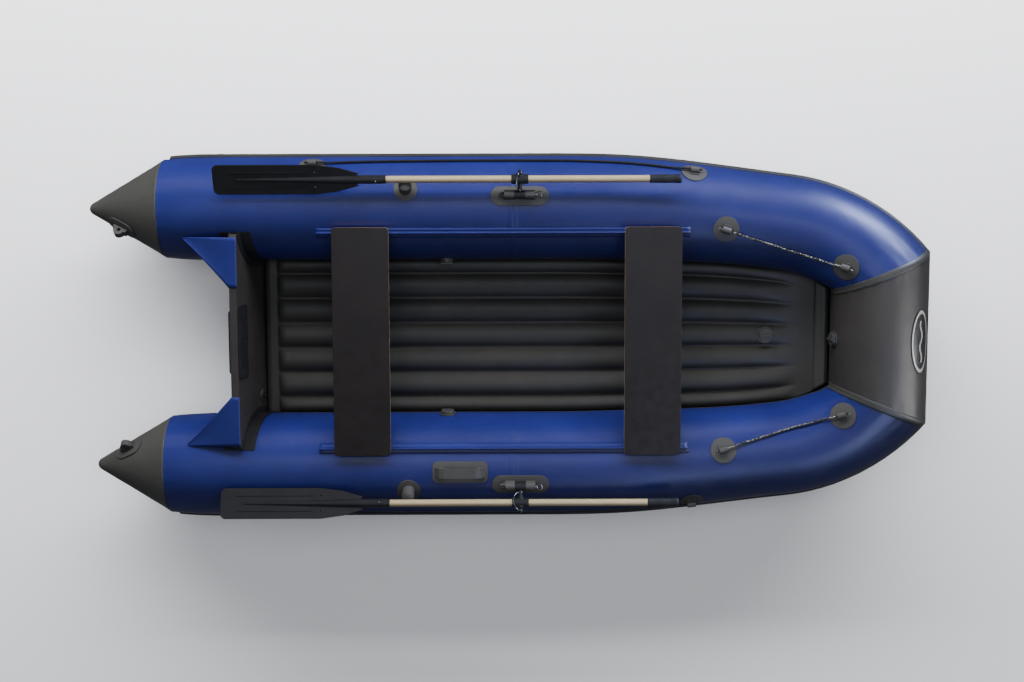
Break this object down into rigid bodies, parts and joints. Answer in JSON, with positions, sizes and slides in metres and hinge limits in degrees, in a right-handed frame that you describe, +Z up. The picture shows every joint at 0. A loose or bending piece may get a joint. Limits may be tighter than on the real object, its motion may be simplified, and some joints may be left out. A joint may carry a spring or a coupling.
{
  "type": "inflatable motor boat",
  "caption": "Blunt-bowed inflatable motor boat with side tubes, air floor, raked transom, sliding bench seats and oars stowed along the tubes.",
  "frame": {"origin": "on the ground under the middle of the boat", "axes": "+X towards the bow, +Y to port, +Z up"},
  "size_m": [3.3999, 1.498, 0.5185],
  "materials": {
    "blue_fabric": "semi-gloss coated PVC fabric",
    "grey_fabric": "semi-matt coated PVC fabric",
    "floor_fabric": "matt anti-slip coated fabric",
    "grey_rubber": "moulded rubber",
    "seam_tape": "smooth PVC tape",
    "painted_plywood": "dark painted marine plywood",
    "seat_plywood": "dark phenolic-faced plywood, pale edge",
    "black_plastic": "moulded nylon",
    "grey_plastic": "moulded nylon",
    "black_rubber": "ribbed grip rubber",
    "anodised_tube": "champagne anodised",
    "stainless": "stainless steel",
    "grey_rope": "braided polyester",
    "black_rope": "braided polyester",
    "badge": "printed vinyl, plain"
  },
  "bodies": {
    "hull": {"port_tube_aft": "blue_fabric", "starboard_tube_aft": "blue_fabric", "port_tube_forward": "blue_fabric", "starboard_tube_forward": "blue_fabric", "bow_tube": "grey_fabric", "port_stern_cone": "grey_fabric", "starboard_stern_cone": "grey_fabric", "tube_baffles": "grey_fabric", "rub_strake": "grey_rubber", "bow_seam_tapes": "seam_tape", "cockpit_seam_tape": "seam_tape", "floor_top_skin": "floor_fabric", "floor_webs": "grey_fabric", "hull_bottom_skin": "grey_fabric", "keel_strip": "grey_rubber", "transom_board": "painted_plywood", "transom_holders": "grey_rubber", "transom_gussets": "blue_fabric", "outer_motor_pad": "black_plastic", "inner_motor_pad": "black_plastic", "motor_pad_screws": "stainless", "drain_valve_body": "grey_plastic", "port_seat_rail": "blue_fabric", "starboard_seat_rail": "blue_fabric", "port_oarlock_base": "grey_rubber", "starboard_oarlock_base": "grey_rubber", "oarlock_axles": "stainless", "oar_clips": "grey_rubber", "carry_handle": "grey_rubber", "rope_eyes": "grey_rubber", "bow_ropes": "grey_rope", "flank_ropes": "black_rope", "stern_tow_eyes": "grey_rubber", "valve_bodies": "grey_plastic", "bow_badge": "badge"},
    "rear_seat": {"rear_seat_board": "seat_plywood", "rear_seat_sliders": "black_plastic"},
    "front_seat": {"front_seat_board": "seat_plywood", "front_seat_sliders": "black_plastic"},
    "port_swivel": {"port_oarlock_swivel": "black_plastic"},
    "starboard_swivel": {"starboard_oarlock_swivel": "black_plastic"},
    "port_bail": {"port_oar_bail": "stainless"},
    "starboard_bail": {"starboard_oar_bail": "stainless"},
    "port_oar": {"port_oar_blade": "black_plastic", "port_oar_shaft_lower": "anodised_tube", "port_oar_shaft_upper": "anodised_tube", "port_oar_collar": "black_plastic", "port_oar_grip": "black_rubber"},
    "starboard_oar": {"starboard_oar_blade": "black_plastic", "starboard_oar_shaft_lower": "anodised_tube", "starboard_oar_shaft_upper": "anodised_tube", "starboard_oar_collar": "black_plastic", "starboard_oar_grip": "black_rubber"},
    "port_button": {"port_oar_button": "stainless"},
    "starboard_button": {"starboard_oar_button": "stainless"},
    "drain_plug": {"drain_plug": "black_plastic"},
    "port_valve_cap": {"port_valve_cap": "grey_plastic"},
    "starboard_valve_cap": {"starboard_valve_cap": "grey_plastic"},
    "bow_valve_cap": {"bow_valve_cap": "grey_plastic"},
    "floor_valve_cap": {"floor_valve_cap": "grey_plastic"}
  },
  "joints": [
    {"name": "rear_seat_slide", "type": "slide", "parent": "hull", "child": "rear_seat", "axis": [1, 0, 0], "range_m": [-0.03, 0.42]},
    {"name": "front_seat_slide", "type": "slide", "parent": "hull", "child": "front_seat", "axis": [1, 0, 0], "range_m": [-0.42, 0.02]},
    {"name": "port_oarlock_swivel", "type": "hinge", "parent": "hull", "child": "port_swivel", "pos_m": [0.05, 0.58288, 0.43414], "axis": [1, 0, 0], "range_deg": [0, 64]},
    {"name": "starboard_oarlock_swivel", "type": "hinge", "parent": "hull", "child": "starboard_swivel", "pos_m": [0.05, -0.58288, 0.43414], "axis": [-1, 0, 0], "range_deg": [0, 64]},
    {"name": "port_oar_turn", "type": "hinge", "parent": "port_swivel", "child": "port_oar", "pos_m": [0.05, 0.64288, 0.46014], "axis": [0, 0.9176, 0.3976], "range_deg": [0, 2]},
    {"name": "starboard_oar_turn", "type": "hinge", "parent": "starboard_swivel", "child": "starboard_oar", "pos_m": [0.05, -0.64288, 0.46014], "axis": [0, -0.9176, 0.3976], "range_deg": [-2, 0]},
    {"name": "port_bail_swing", "type": "hinge", "parent": "port_swivel", "child": "port_bail", "pos_m": [0.05, 0.64288, 0.46014], "axis": [0, 0.9176, 0.3976], "range_deg": [-36, 45]},
    {"name": "starboard_bail_swing", "type": "hinge", "parent": "starboard_swivel", "child": "starboard_bail", "pos_m": [0.05, -0.64288, 0.46014], "axis": [0, -0.9176, 0.3976], "range_deg": [-75, 8]},
    {"name": "port_button_press", "type": "slide", "parent": "port_oar", "child": "port_button", "axis": [0, 0.3976, -0.9176], "range_m": [0, 0.004], "stiffness_N_per_m": 1200, "springref_m": -0.002},
    {"name": "starboard_button_press", "type": "slide", "parent": "starboard_oar", "child": "starboard_button", "axis": [0, -0.3976, -0.9176], "range_m": [0, 0.004], "stiffness_N_per_m": 1200, "springref_m": -0.002},
    {"name": "drain_plug_pull", "type": "slide", "parent": "hull", "child": "drain_plug", "axis": [0.9799, 0, 0.1994], "range_m": [0, 0.03]},
    {"name": "port_valve_cap_twist", "type": "hinge", "parent": "hull", "child": "port_valve_cap", "pos_m": [-0.247, 0.31815, 0.23195], "axis": [0, -0.9945, 0.1045], "range_deg": [0, 90]},
    {"name": "starboard_valve_cap_twist", "type": "hinge", "parent": "hull", "child": "starboard_valve_cap", "pos_m": [-0.247, -0.31815, 0.23195], "axis": [0, 0.9945, 0.1045], "range_deg": [0, 90]},
    {"name": "bow_valve_cap_twist", "type": "hinge", "parent": "hull", "child": "bow_valve_cap", "pos_m": [1.31089, 0, 0.35999], "axis": [-0.9848, 0, 0.1736], "range_deg": [0, 90]},
    {"name": "floor_valve_cap_twist", "type": "hinge", "parent": "hull", "child": "floor_valve_cap", "pos_m": [1.06287, 0, 0.19851], "axis": [0.0444, 0, 0.999], "range_deg": [0, 90]}
  ]
}
